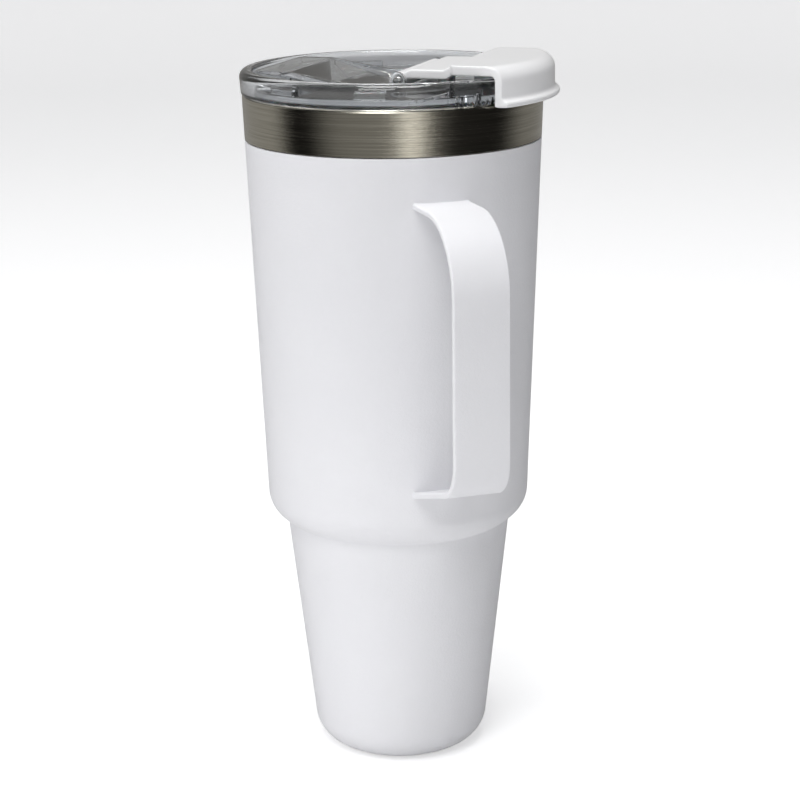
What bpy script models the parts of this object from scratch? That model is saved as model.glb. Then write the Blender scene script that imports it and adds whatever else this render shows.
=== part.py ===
# Insulated tumbler with a strap handle, a clear press-in lid and a flip lever.
# Metres, +Z up. The origin is the centre of the flat base, and the handle points along +X.

import math

import bmesh
import bpy
from mathutils import Matrix, Vector

# ---- Driving dimensions ----
BODY_HEIGHT = 0.2325        # table to the top of the steel mouth
MOUTH_RADIUS = 0.05075      # outside of the steel mouth
LEDGE_HEIGHT = 0.0885       # underside corner of the wide barrel
LEDGE_RADIUS = 0.0452
LEDGE_ROUND = 0.0100
WAIST_DROP = 0.0039         # how far the ledge falls towards the waist
WAIST_RADIUS = 0.0390
WAIST_ROUND = 0.0013
FOOT_RADIUS = 0.0294        # lower cone carried down to the table
FOOT_ROUND = 0.0112
SHELL_WALL = 0.0008
GAP = 0.0003                # clearance between pieces that touch
SEGMENTS = 48               # sides of a turned piece

BAND_HEIGHT = 0.0150        # bare steel at the mouth
BAND_WALL = 0.0010
RIM_WIDTH = 0.00275         # steel between the outside and the bore
RIM_ROUND = 0.0009
LIP_DEPTH = 0.0016
LINER_WALL = 0.0006
LINER_INSET = 0.0036        # outside of the shell to the outside of the liner
LINER_BASE = 0.0072         # underside of the liner above the table
LINER_LEDGE_ROUND = 0.0060
LINER_WAIST_ROUND = 0.0040
LINER_FOOT_ROUND = 0.0080

CAP_RADIUS = 0.0165
CAP_THICKNESS = 0.0010
CAP_GROOVE_RADIUS = 0.0120
CAP_GROOVE_WIDTH = 0.0012
CAP_GROOVE_DEPTH = 0.0004
BULKHEAD_RADIUS = 0.0175
BULKHEAD_THICKNESS = 0.0008
PORT_RADIUS = 0.0016        # hole that the air is drawn out through
PORT_PLUG_LENGTH = 0.0018
PORT_PLUG_HEAD = 0.0030
GETTER_RADIUS = 0.0050
GETTER_THICKNESS = 0.0015
GETTER_OFFSET = 0.0080

STRAP_WIDTH = 0.0190
STRAP_THICKNESS = 0.0020
STRAP_ROUND = 0.0006
STRAP_REACH = 0.0854        # axis of the cup to the middle of the strap
STRAP_TOP_DROP = 0.0310     # mouth to the middle of the upper arm
STRAP_SPAN = 0.0854         # upper arm to the lower arm's turn
STRAP_TOP_BEND = 0.0236
STRAP_LOW_BEND = 0.0130
STRAP_LOW_SLOPE = math.radians(16.7)

LID_OVERHANG = 0.00025      # clear ring beyond the mouth it sits on
LID_FLARE = 0.0006
LID_RISE = 0.0083
LID_SHOULDER = 0.0026
LID_WALL = 0.0046
LID_INNER_ROUND = 0.0008
LEDGE_SEAT = 0.0009         # ledge that carries the deck
LEDGE_WIDTH = 0.0017
PLUG_DEPTH = 0.0130
PLUG_CLEARANCE = 0.0012     # plug to the bore of the mouth
PLUG_WALL = 0.0022
PLUG_DRAFT = 0.0004
GROOVE_TOP = 0.0050
GROOVE_HEIGHT = 0.0040
GROOVE_DEPTH = 0.0010
FIN_HEIGHT = 0.0004

DECK_THICKNESS = 0.0020
DECK_LUGS = 9
LUG_WIDTH = 0.0100
LUG_DEPTH = 0.0028
LUG_HEIGHT = 0.0016
SLOT_INSET = 0.0099         # edge of the deck to the middle of the drinking slot
SLOT_LENGTH = 0.0220
SLOT_WIDTH = 0.0080
VENT_CENTRE = 0.0190
VENT_RADIUS = 0.0013

LEVER_ANGLE = math.radians(53)   # direction of the lever, from the handle
HINGE_REACH = 0.0090
HINGE_RISE = 0.0062         # hinge axis above the mouth
PIN_RADIUS = 0.0011
BARREL_RADIUS = 0.0026
STEM_WIDTH = 0.0396
STEM_THICKNESS = 0.0031
STEM_TOP = 0.0097
STEM_START = 0.0105
STEP_MARGIN = 0.0026        # spout seal to the step between stem and hook
STEP_RUN = 0.0043
HOOK_WIDTH = 0.0570
HOOK_TOP = 0.0123
HOOK_THICKNESS = 0.0032
HOOK_SHOULDER = 0.0045
SKIRT_CLEARANCE = 0.0007    # clear ring to the inside of the skirt
SKIRT_WALL = 0.0022
SKIRT_DROP = 0.0008         # how far the skirt reaches below the mouth
LIP_FLARE = 0.0017
LIP_HEIGHT = 0.0026
CHEEK_WALL = 0.0016
CHEEK_CLEARANCE = 0.0004
RAMP_FOOT = -0.0080         # ramp behind the hinge, along the lever
RAMP_CREST = -0.0300
RAMP_RISE = 0.0080
RAMP_THICKNESS = 0.0014
WINDOW_MARGIN = 0.0016
SEAL_MARGIN = 0.0014        # spout seal beyond the slot, all round
VENT_PAD_RADIUS = 0.0030

# ---- Sizes that follow ----
WAIST_HEIGHT = LEDGE_HEIGHT - WAIST_DROP
BORE_RADIUS = MOUTH_RADIUS - RIM_WIDTH
BAND_BOTTOM = BODY_HEIGHT - BAND_HEIGHT
LID_LOW_RADIUS = MOUTH_RADIUS + LID_OVERHANG
LID_TOP_RADIUS = LID_LOW_RADIUS + LID_FLARE
LID_INNER_TOP = LID_TOP_RADIUS - LID_WALL
LID_INNER_LOW = LID_INNER_TOP - LID_FLARE / 2
PLUG_RADIUS = BORE_RADIUS - PLUG_CLEARANCE
DECK_RADIUS = LID_INNER_LOW - GAP
DECK_BOTTOM = LEDGE_SEAT + GAP
DECK_TOP = DECK_BOTTOM + DECK_THICKNESS
SLOT_CENTRE = DECK_RADIUS - SLOT_INSET
STEP_TOP = SLOT_CENTRE - SLOT_WIDTH / 2 - SEAL_MARGIN - STEP_MARGIN
STEP_FOOT = STEP_TOP - STEP_RUN
SKIRT_INNER = LID_TOP_RADIUS + SKIRT_CLEARANCE
SKIRT_OUTER = SKIRT_INNER + SKIRT_WALL
CHEEK_INNER = STEM_WIDTH / 2 + CHEEK_CLEARANCE
PIN_LENGTH = 2 * (CHEEK_INNER + CHEEK_WALL)

WHITE = (0.86, 0.86, 0.87, 1.0)
STEEL = (0.50, 0.48, 0.43, 1.0)
CLEAR = (0.75, 0.78, 0.80, 1.0)
SILICONE = (0.70, 0.71, 0.72, 1.0)
DARK = (0.15, 0.15, 0.16, 1.0)


# ---- Outlines ----
def outer_radius(height):
    # Outside of the wide barrel, a straight cone from the ledge to the mouth.
    share = (height - LEDGE_HEIGHT) / (BODY_HEIGHT - LEDGE_HEIGHT)
    return LEDGE_RADIUS + share * (MOUTH_RADIUS - LEDGE_RADIUS)


def lower_radius(height):
    # Outside of the lower cone.
    return FOOT_RADIUS + height / WAIST_HEIGHT * (WAIST_RADIUS - FOOT_RADIUS)


def rounded(corners, radii, steps=4):
    # A polyline whose inner corners are replaced by arcs.
    points = [Vector(corners[0])]
    for index, radius in enumerate(radii, start=1):
        before, corner, after = (Vector(corners[index + k]) for k in (-1, 0, 1))
        if radius <= 0:
            points.append(corner)
            continue
        back = (before - corner).normalized()
        ahead = (after - corner).normalized()
        half = back.angle(ahead) / 2
        centre = corner + (back + ahead).normalized() * radius / math.sin(half)
        first = corner + back * radius / math.tan(half) - centre
        last = corner + ahead * radius / math.tan(half) - centre
        turn = first.angle_signed(last)
        for step in range(steps + 1):
            points.append(centre + Matrix.Rotation(-turn * step / steps, 2) @ first)
    points.append(Vector(corners[-1]))
    return points


def offset(corners, distance):
    # The corners moved to the right of the direction of travel by the same distance.
    lines = []
    for start, end in zip(corners[:-1], corners[1:]):
        run = (Vector(end) - Vector(start)).normalized()
        side = Vector((run.y, -run.x)) * distance
        lines.append((Vector(start) + side, Vector(end) + side, run))
    moved = [lines[0][0]]
    for (_, first_end, first_run), (second_start, _, second_run) in zip(lines[:-1], lines[1:]):
        cross = first_run.cross(second_run)
        along = (second_start - first_end).cross(second_run) / cross
        moved.append(first_end + first_run * along)
    moved.append(lines[-1][1])
    return moved


# ---- Building blocks ----
def finish(mesh, name, material):
    obj = bpy.data.objects.new(name, mesh)
    bpy.context.collection.objects.link(obj)
    if material:
        mesh.materials.append(material)
        mesh.shade_smooth()
        mesh.set_sharp_from_angle(angle=math.radians(32))
    else:
        obj.hide_render = True
        obj.display_type = "WIRE"
    return obj


def turned(name, outline, material=None, closed=True, segments=SEGMENTS):
    # Spins an (r, z) outline about +Z. An open outline starts and ends on the axis.
    work = bmesh.new()
    points = [work.verts.new((p[0], 0.0, p[1])) for p in outline]
    edges = [work.edges.new(pair) for pair in zip(points[:-1], points[1:])]
    if closed:
        edges.append(work.edges.new((points[-1], points[0])))
    bmesh.ops.spin(work, geom=points + edges, cent=(0, 0, 0), axis=(0, 0, 1), angle=2 * math.pi,
                   steps=segments, use_merge=True)
    bmesh.ops.remove_doubles(work, verts=work.verts, dist=1e-6)
    bmesh.ops.recalc_face_normals(work, faces=work.faces)
    mesh = bpy.data.meshes.new(name)
    work.to_mesh(mesh)
    work.free()
    return finish(mesh, name, material)


def prism(name, outline, low, high, place, material=None):
    # Extrudes a flat outline from low to high, then puts it in place.
    work = bmesh.new()
    face = work.faces.new([work.verts.new((p[0], p[1], low)) for p in outline])
    raised = bmesh.ops.extrude_face_region(work, geom=[face])["geom"]
    lifted = [part for part in raised if isinstance(part, bmesh.types.BMVert)]
    bmesh.ops.translate(work, verts=lifted, vec=(0, 0, high - low))
    bmesh.ops.recalc_face_normals(work, faces=work.faces)
    bmesh.ops.transform(work, matrix=place, verts=work.verts)
    bmesh.ops.recalc_face_normals(work, faces=work.faces)
    mesh = bpy.data.meshes.new(name)
    work.to_mesh(mesh)
    work.free()
    return finish(mesh, name, material)


def circle(radius, centre=(0.0, 0.0), count=20):
    turns = [2 * math.pi * k / count for k in range(count)]
    return [(centre[0] + radius * math.cos(t), centre[1] + radius * math.sin(t)) for t in turns]


def stadium(length, width, centre=(0.0, 0.0), count=8):
    # A slot outline: straight sides and round ends, long along the second axis.
    radius = width / 2
    reach = length / 2 - radius
    points = []
    for side, start in ((1, 0.0), (-1, math.pi)):
        for step in range(count + 1):
            turn = start + math.pi * step / count
            points.append((centre[0] + radius * math.cos(turn), centre[1] + side * reach + radius * math.sin(turn)))
    return points


def combine(obj, tool, operation):
    change = obj.modifiers.new(operation.lower(), "BOOLEAN")
    change.operation = operation
    change.solver = "EXACT"
    change.object = tool


def cut(obj, tool):
    combine(obj, tool, "DIFFERENCE")


def join(obj, tool):
    combine(obj, tool, "UNION")


def plain_material(name, colour, roughness, metallic=0.0, alpha=1.0):
    made = bpy.data.materials.new(name)
    made.use_nodes = True
    shader = made.node_tree.nodes["Principled BSDF"]
    shader.inputs["Base Color"].default_value = colour
    shader.inputs["Roughness"].default_value = roughness
    shader.inputs["Metallic"].default_value = metallic
    shader.inputs["Alpha"].default_value = alpha
    return made


# Along the lever: X out from the axis of the cup, Z up from the mouth.
LEVER_FRAME = Matrix.Translation((0, 0, BODY_HEIGHT)) @ Matrix.Rotation(LEVER_ANGLE, 4, "Z")
# A side view's (along, up) outline, extruded across the lever.
LEVER_SIDE = LEVER_FRAME @ Matrix.Rotation(math.pi / 2, 4, "X")


# ---- Cup ----
def body_corners():
    return [
        (MOUTH_RADIUS, BODY_HEIGHT),
        (LEDGE_RADIUS, LEDGE_HEIGHT),
        (WAIST_RADIUS, WAIST_HEIGHT),
        (FOOT_RADIUS, 0.0),
        (CAP_RADIUS + GAP, 0.0),
    ]


def make_outer_shell():
    # Coated wall from the band down to the opening for the base cap.
    corners = body_corners()
    corners[0] = (outer_radius(BAND_BOTTOM - GAP), BAND_BOTTOM - GAP)
    inside = offset(corners, SHELL_WALL)
    inside[0].y = corners[0][1]
    outer = rounded(corners, [LEDGE_ROUND, WAIST_ROUND, FOOT_ROUND], steps=5)
    inner = rounded(inside, [LEDGE_ROUND - SHELL_WALL, WAIST_ROUND + SHELL_WALL, FOOT_ROUND - SHELL_WALL], steps=5)
    return turned("outer_shell", outer + inner[::-1], plain_material("white_powder_coat", WHITE, 0.55))


def make_mouth_ring():
    # Bare steel band, folded in at the top until it meets the liner.
    lip_radius = BORE_RADIUS + LINER_WALL + GAP
    bottom = outer_radius(BAND_BOTTOM)
    outline = rounded(
        [
            (lip_radius, BODY_HEIGHT - LIP_DEPTH),
            (lip_radius, BODY_HEIGHT),
            (MOUTH_RADIUS, BODY_HEIGHT),
            (bottom, BAND_BOTTOM),
            (bottom - BAND_WALL, BAND_BOTTOM),
            (MOUTH_RADIUS - BAND_WALL, BODY_HEIGHT - LIP_DEPTH),
        ],
        [0, RIM_ROUND, 0, 0],
    )
    return turned("mouth_ring", outline, plain_material("brushed_steel", STEEL, 0.3, metallic=1.0))


def make_inner_liner():
    # Drinking vessel, open at the mouth and closed below.
    corners = [
        (BORE_RADIUS + LINER_WALL, BODY_HEIGHT),
        (LEDGE_RADIUS - LINER_INSET, LEDGE_HEIGHT + LINER_INSET),
        (WAIST_RADIUS - LINER_INSET, WAIST_HEIGHT + LINER_INSET),
        (lower_radius(LINER_BASE) - LINER_INSET, LINER_BASE),
        (0.0, LINER_BASE),
    ]
    inside = offset(corners, LINER_WALL)
    inside[0].y = BODY_HEIGHT
    inside[-1].x = 0.0
    radii = [LINER_LEDGE_ROUND, LINER_WAIST_ROUND, LINER_FOOT_ROUND]
    inner_radii = [LINER_LEDGE_ROUND - LINER_WALL, LINER_WAIST_ROUND + LINER_WALL, LINER_FOOT_ROUND - LINER_WALL]
    outline = rounded(corners, radii)[::-1] + rounded(inside, inner_radii)
    return turned("inner_liner", outline, plain_material("liner_steel", STEEL, 0.35, metallic=1.0), closed=False)


def make_base():
    steel = plain_material("base_steel", STEEL, 0.4, metallic=1.0)
    chamfer = GAP
    groove = CAP_GROOVE_WIDTH / 2
    cap = [
        (0.0, 0.0),
        (CAP_GROOVE_RADIUS - groove, 0.0),
        (CAP_GROOVE_RADIUS - groove / 2, CAP_GROOVE_DEPTH),
        (CAP_GROOVE_RADIUS + groove / 2, CAP_GROOVE_DEPTH),
        (CAP_GROOVE_RADIUS + groove, 0.0),
        (CAP_RADIUS - chamfer, 0.0),
        (CAP_RADIUS, chamfer),
        (CAP_RADIUS, CAP_THICKNESS),
        (0.0, CAP_THICKNESS),
    ]
    turned("base_cap", cap, plain_material("cap_powder_coat", WHITE, 0.55), closed=False)
    low = CAP_THICKNESS + GAP
    high = low + BULKHEAD_THICKNESS
    bulkhead = [(PORT_RADIUS, low), (BULKHEAD_RADIUS, low), (BULKHEAD_RADIUS, high), (PORT_RADIUS, high)]
    turned("vacuum_bulkhead", bulkhead, steel)
    plug_radius = PORT_RADIUS - GAP
    head = high + GAP
    plug = [(0.0, low), (plug_radius, low), (plug_radius, head), (PORT_PLUG_HEAD, head),
            (PORT_PLUG_HEAD - GAP, low + PORT_PLUG_LENGTH), (0.0, low + PORT_PLUG_LENGTH)]
    turned("vacuum_plug", plug, plain_material("solder_glass", DARK, 0.3), closed=False, segments=20)
    top = LINER_BASE - GAP
    getter = prism("vacuum_getter", circle(GETTER_RADIUS), top - GETTER_THICKNESS, top,
                   Matrix.Translation((-GETTER_OFFSET, 0, 0)), plain_material("getter_metal", DARK, 0.6, metallic=0.6))
    return getter


def strap_centreline():
    # From inside the wall out along the upper arm, down the grip and back in to the wall.
    top = BODY_HEIGHT - STRAP_TOP_DROP
    turn = top - STRAP_SPAN
    inside = STRAP_REACH - STRAP_TOP_BEND - 0.5 * MOUTH_RADIUS
    run = STRAP_REACH - inside
    corners = [
        (inside, top),
        (STRAP_REACH, top),
        (STRAP_REACH, turn),
        (inside, turn - run * math.tan(STRAP_LOW_SLOPE)),
    ]
    return corners


def make_handle():
    corners = strap_centreline()
    half = STRAP_THICKNESS / 2
    outside = offset(corners, -half)
    inside = offset(corners, half)
    outer = rounded(outside, [STRAP_TOP_BEND + half, STRAP_LOW_BEND + half], steps=8)
    inner = rounded(inside, [STRAP_TOP_BEND - half, STRAP_LOW_BEND - half], steps=8)
    place = Matrix.Rotation(math.pi / 2, 4, "X")
    handle = prism("handle_strap", outer + inner[::-1], -STRAP_WIDTH / 2, STRAP_WIDTH / 2, place,
                   plain_material("strap_powder_coat", WHITE, 0.55))
    edges = handle.modifiers.new("edges", "BEVEL")
    edges.width = STRAP_ROUND
    edges.segments = 2
    edges.limit_method = "ANGLE"
    edges.angle_limit = math.radians(50)
    wall = [(0.0, LEDGE_HEIGHT), (outer_radius(LEDGE_HEIGHT) + GAP, LEDGE_HEIGHT),
            (outer_radius(BODY_HEIGHT) + GAP, BODY_HEIGHT), (0.0, BODY_HEIGHT)]
    cut(handle, turned("wall_cutter", wall, closed=False))
    return handle


# ---- Lid ----
def make_lid_ring():
    # One clear moulding: the ring above the mouth and the plug inside it.
    seat = BODY_HEIGHT
    low = PLUG_RADIUS - PLUG_DRAFT
    inner = PLUG_RADIUS - PLUG_WALL
    groove_low = -GROOVE_TOP - GROOVE_HEIGHT
    corners = [
        (LID_LOW_RADIUS, GAP),
        (LID_TOP_RADIUS, LID_RISE),
        (LID_INNER_TOP, LID_RISE),
        (LID_INNER_LOW, LEDGE_SEAT),
        (LID_INNER_LOW - LEDGE_WIDTH, LEDGE_SEAT),
        (inner - PLUG_DRAFT / 2, -PLUG_DEPTH),
        (low, -PLUG_DEPTH),
        (low, groove_low),
        (PLUG_RADIUS - GROOVE_DEPTH, groove_low),
        (PLUG_RADIUS - GROOVE_DEPTH, -GROOVE_TOP),
        (PLUG_RADIUS, -GROOVE_TOP),
        (PLUG_RADIUS, GAP),
    ]
    placed = [(r, seat + z) for r, z in corners]
    radii = [LID_SHOULDER, LID_INNER_ROUND, 0, 0, 0, 0, 0, 0, 0, 0]
    clear = plain_material("clear_plastic", CLEAR, 0.05, alpha=0.35)
    return turned("lid_ring", rounded(placed, radii), clear)


def make_gasket():
    # Silicone ring in the plug's groove, with two fins that reach towards the bore.
    seat = BODY_HEIGHT
    root = PLUG_RADIUS - GROOVE_DEPTH + GAP
    body = PLUG_RADIUS + GAP / 2
    top = -GROOVE_TOP - GAP
    bottom = -GROOVE_TOP - GROOVE_HEIGHT + GAP
    slope = (BORE_RADIUS - (LEDGE_RADIUS - LINER_INSET - LINER_WALL)) / (BODY_HEIGHT - LEDGE_HEIGHT - LINER_INSET)
    pitch = (top - bottom) / 2
    outline = [(root, top)]
    for fin in range(2):
        start = top - fin * pitch
        tip = BORE_RADIUS + start * slope - GAP
        outline += [(body, start), (tip, start - FIN_HEIGHT), (tip, start - 2 * FIN_HEIGHT), (body, start - pitch * 0.8)]
    outline += [(body, bottom), (root, bottom)]
    placed = [(r, seat + z) for r, z in outline]
    return turned("lid_gasket", placed, plain_material("gasket_silicone", SILICONE, 0.6))


def cheek_outline():
    # Side view of a hinge cheek, which runs back into the side of the ramp.
    sunk = DECK_TOP - DECK_THICKNESS / 2
    back = -math.sqrt(DECK_RADIUS ** 2 - (CHEEK_INNER + CHEEK_WALL) ** 2) + GAP
    boss = []
    for step in range(9):
        turn = math.pi * step / 8
        boss.append((HINGE_REACH + BARREL_RADIUS * math.cos(turn), HINGE_RISE + BARREL_RADIUS * math.sin(turn)))
    shelf = DECK_TOP + RAMP_THICKNESS
    return [(back, sunk), (HINGE_REACH + BARREL_RADIUS, sunk)] + boss + [
        (HINGE_REACH - BARREL_RADIUS, shelf),
        (RAMP_FOOT, shelf),
        (RAMP_CREST, RAMP_RISE),
        (back, RAMP_RISE),
    ]


def ramp_outline():
    # Side view of the ramp plate between the cheeks, with the shelf behind its crest.
    back = -math.sqrt(DECK_RADIUS ** 2 - CHEEK_INNER ** 2) + GAP
    sunk = DECK_TOP - DECK_THICKNESS / 2
    run = RAMP_CREST - RAMP_FOOT
    under = RAMP_FOOT + run * RAMP_THICKNESS / (RAMP_RISE - DECK_TOP)
    return [
        (under, sunk),
        (RAMP_FOOT, sunk),
        (RAMP_FOOT, DECK_TOP),
        (RAMP_CREST, RAMP_RISE),
        (back, RAMP_RISE),
        (back, RAMP_RISE - RAMP_THICKNESS),
        (RAMP_CREST, RAMP_RISE - RAMP_THICKNESS),
        (under, DECK_TOP),
    ]


def window_outline():
    # Three-cornered window through a cheek, below the ramp plate.
    back = RAMP_CREST + WINDOW_MARGIN
    slope = (RAMP_RISE - DECK_TOP) / (RAMP_FOOT - RAMP_CREST)
    low = DECK_TOP + GAP
    high = RAMP_RISE - RAMP_THICKNESS - slope * WINDOW_MARGIN - GAP
    tip = back + (high - low) / slope
    return [(back, low), (tip, low), (back, high)]


def make_deck():
    # Clear insert on the ring's ledge: slot, vent, snap lugs, hinge cheeks and the ramp.
    clear = plain_material("deck_clear_plastic", CLEAR, 0.06, alpha=0.35)
    bottom = BODY_HEIGHT + DECK_BOTTOM
    top = BODY_HEIGHT + DECK_TOP
    disc = [(0.0, bottom), (DECK_RADIUS, bottom), (DECK_RADIUS, top), (0.0, top)]
    deck = turned("lid_deck", disc, clear, closed=False)
    sunk = DECK_TOP - DECK_THICKNESS / 2
    lug_edge = DECK_RADIUS * math.cos(math.pi / SEGMENTS) - GAP
    for index in range(DECK_LUGS):
        turn = LEVER_ANGLE + 2 * math.pi * index / DECK_LUGS
        spread = LUG_WIDTH / 2 / lug_edge
        outline = [(lug_edge * math.cos(spread * k / 2), lug_edge * math.sin(spread * k / 2)) for k in range(-2, 3)]
        outline += [(lug_edge - LUG_DEPTH, LUG_WIDTH / 2), (lug_edge - LUG_DEPTH, -LUG_WIDTH / 2)]
        place = Matrix.Translation((0, 0, BODY_HEIGHT)) @ Matrix.Rotation(turn, 4, "Z")
        join(deck, prism("lug_%d" % index, outline, sunk, DECK_TOP + LUG_HEIGHT, place))
    for side in (-1, 1):
        near, far = sorted((side * CHEEK_INNER, side * (CHEEK_INNER + CHEEK_WALL)))
        join(deck, prism("cheek_%d" % (side + 1), cheek_outline(), near, far, LEVER_SIDE))
    reach = CHEEK_INNER + CHEEK_WALL / 2
    join(deck, prism("ramp", ramp_outline(), -reach, reach, LEVER_SIDE))
    beyond = CHEEK_INNER + 2 * CHEEK_WALL
    cut(deck, prism("window", window_outline(), -beyond, beyond, LEVER_SIDE))
    hole = circle(PIN_RADIUS + GAP, (HINGE_REACH, HINGE_RISE), count=16)
    cut(deck, prism("pin_hole", hole, -beyond, beyond, LEVER_SIDE))
    slot = stadium(SLOT_LENGTH, SLOT_WIDTH, (SLOT_CENTRE, 0.0))
    cut(deck, prism("slot", slot, DECK_BOTTOM - DECK_THICKNESS, DECK_TOP + DECK_THICKNESS, LEVER_FRAME))
    vent = circle(VENT_RADIUS, (VENT_CENTRE, 0.0), count=12)
    cut(deck, prism("vent", vent, DECK_BOTTOM - DECK_THICKNESS, DECK_TOP + DECK_THICKNESS, LEVER_FRAME))
    return deck


def make_pin():
    outline = circle(PIN_RADIUS, (HINGE_REACH, HINGE_RISE), count=16)
    return prism("hinge_pin", outline, -PIN_LENGTH / 2, PIN_LENGTH / 2, LEVER_SIDE,
                 plain_material("pin_steel", STEEL, 0.25, metallic=1.0))


# ---- Flip lever ----
def hook_profile():
    # (r, z) outline of the plate over the rim and the skirt outside it.
    under = HOOK_TOP - HOOK_THICKNESS
    flare = SKIRT_OUTER + LIP_FLARE
    corners = [
        (0.0, HOOK_TOP),
        (SKIRT_OUTER, HOOK_TOP),
        (SKIRT_OUTER, LIP_HEIGHT - SKIRT_DROP),
        (flare, LIP_HEIGHT - SKIRT_DROP - LIP_FLARE / 2),
        (flare, -SKIRT_DROP),
        (SKIRT_INNER, -SKIRT_DROP),
        (SKIRT_INNER, under),
        (0.0, under),
    ]
    radii = [HOOK_SHOULDER, 0.0008, 0.0008, 0.0008, 0.0004, 0.0010]
    return [(p[0], BODY_HEIGHT + p[1]) for p in rounded(corners, radii)]


def stem_outline():
    # Side view of the stem, from the hinge barrel to where it runs under the hook plate.
    low = STEM_TOP - STEM_THICKNESS
    under = HOOK_TOP - HOOK_THICKNESS
    shift = STEM_THICKNESS * math.tan(math.atan2(HOOK_TOP - STEM_TOP, STEP_TOP - STEP_FOOT) / 2)
    overlap = HOOK_THICKNESS / 2
    return [
        (STEM_START, low),
        (STEP_FOOT + shift, low),
        (STEP_TOP + shift, under + GAP),
        (STEP_TOP + shift, HOOK_TOP - overlap),
        (STEP_TOP + GAP, HOOK_TOP - GAP),
        (STEP_FOOT, STEM_TOP),
        (STEM_START + BARREL_RADIUS, STEM_TOP),
        (STEM_START, STEM_TOP - BARREL_RADIUS / 2),
    ]


def make_lever():
    white = plain_material("lever_plastic", WHITE, 0.3)
    lever = turned("flip_lever", hook_profile(), white, closed=False, segments=96)
    half = HOOK_WIDTH / 2
    far = SKIRT_OUTER + 2 * LIP_FLARE
    window = rounded([(far, 0.0), (far, half), (STEP_TOP, half), (STEP_TOP, -half), (far, -half), (far, 0.0)],
                     [0, 0.0030, 0.0030, 0])
    keep = prism("hook_window", window[:-1], -2 * HOOK_TOP, 2 * HOOK_TOP, LEVER_FRAME)
    combine(lever, keep, "INTERSECT")
    stem = STEM_WIDTH / 2
    join(lever, prism("stem", stem_outline(), -stem, stem, LEVER_SIDE))
    barrel = circle(BARREL_RADIUS, (HINGE_REACH, HINGE_RISE), count=16)
    knuckle = stem - GAP
    join(lever, prism("barrel", barrel, -knuckle, knuckle, LEVER_SIDE))
    hole = circle(PIN_RADIUS + GAP, (HINGE_REACH, HINGE_RISE), count=16)
    cut(lever, prism("barrel_hole", hole, -PIN_LENGTH, PIN_LENGTH, LEVER_SIDE))
    return lever


def make_seals():
    silicone = plain_material("seal_silicone", SILICONE, 0.6)
    length = SLOT_LENGTH + 2 * SEAL_MARGIN
    width = SLOT_WIDTH + 2 * SEAL_MARGIN
    under = HOOK_TOP - HOOK_THICKNESS
    prism("spout_seal", stadium(length, width, (SLOT_CENTRE, 0.0)), DECK_TOP + GAP, under - GAP, LEVER_FRAME, silicone)
    pad = circle(VENT_PAD_RADIUS, (VENT_CENTRE, 0.0), count=16)
    return prism("vent_pad", pad, DECK_TOP + GAP, STEM_TOP - STEM_THICKNESS - GAP, LEVER_FRAME, silicone)


def pivot(obj, point):
    # Moves an object's origin to a point and leaves its shape where it is.
    obj.data.transform(Matrix.Translation(-Vector(point)))
    obj.location = point


def main():
    for obj in list(bpy.data.objects):
        bpy.data.objects.remove(obj, do_unlink=True)
    make_outer_shell()
    make_mouth_ring()
    make_inner_liner()
    make_base()
    make_handle()
    make_lid_ring()
    make_gasket()
    make_deck()
    make_pin()
    lever = make_lever()
    make_seals()
    hinge = LEVER_FRAME @ Vector((HINGE_REACH, 0, HINGE_RISE))
    for moving in (lever, bpy.data.objects["spout_seal"], bpy.data.objects["vent_pad"]):
        pivot(moving, hinge)


main()
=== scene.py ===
import math

import bmesh
import bpy
from mathutils import Matrix, Vector


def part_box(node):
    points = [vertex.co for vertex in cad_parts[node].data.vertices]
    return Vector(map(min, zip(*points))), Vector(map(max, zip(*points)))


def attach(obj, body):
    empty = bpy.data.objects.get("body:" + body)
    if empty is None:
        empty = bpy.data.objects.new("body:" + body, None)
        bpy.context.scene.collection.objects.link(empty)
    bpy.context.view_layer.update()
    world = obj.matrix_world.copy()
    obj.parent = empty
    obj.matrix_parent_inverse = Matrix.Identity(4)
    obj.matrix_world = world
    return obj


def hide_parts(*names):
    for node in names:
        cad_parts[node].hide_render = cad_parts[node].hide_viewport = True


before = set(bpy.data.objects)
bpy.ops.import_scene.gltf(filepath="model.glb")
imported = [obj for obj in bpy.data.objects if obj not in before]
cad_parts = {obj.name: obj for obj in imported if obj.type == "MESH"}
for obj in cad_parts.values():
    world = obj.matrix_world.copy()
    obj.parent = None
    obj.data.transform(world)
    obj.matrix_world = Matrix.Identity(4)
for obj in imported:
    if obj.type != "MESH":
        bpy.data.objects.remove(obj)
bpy.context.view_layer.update()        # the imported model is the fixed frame
print("frame loaded:", len(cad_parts), "nodes")

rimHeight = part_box("mouth_ring")[1].z      # top of the steel mouth
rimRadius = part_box("mouth_ring")[1].x
leverAngle = math.radians(53)              # the lever's direction, round from the handle
rimFrame = Matrix.Translation((0, 0, rimHeight))
leverFrame = rimFrame @ Matrix.Rotation(leverAngle, 4, "Z")
leverSide = leverFrame @ Matrix.Rotation(math.pi / 2, 4, "X")


def addObject(name, mesh, material, body=None, node=None, smooth=32):
    obj = bpy.data.objects.new(name, mesh)
    bpy.context.collection.objects.link(obj)
    if material:
        mesh.materials.append(material)
    mesh.shade_smooth()
    if smooth:
        mesh.set_sharp_from_angle(angle=math.radians(smooth))
    if body:
        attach(obj, body)
    if node:
        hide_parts(node)
    return obj


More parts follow.
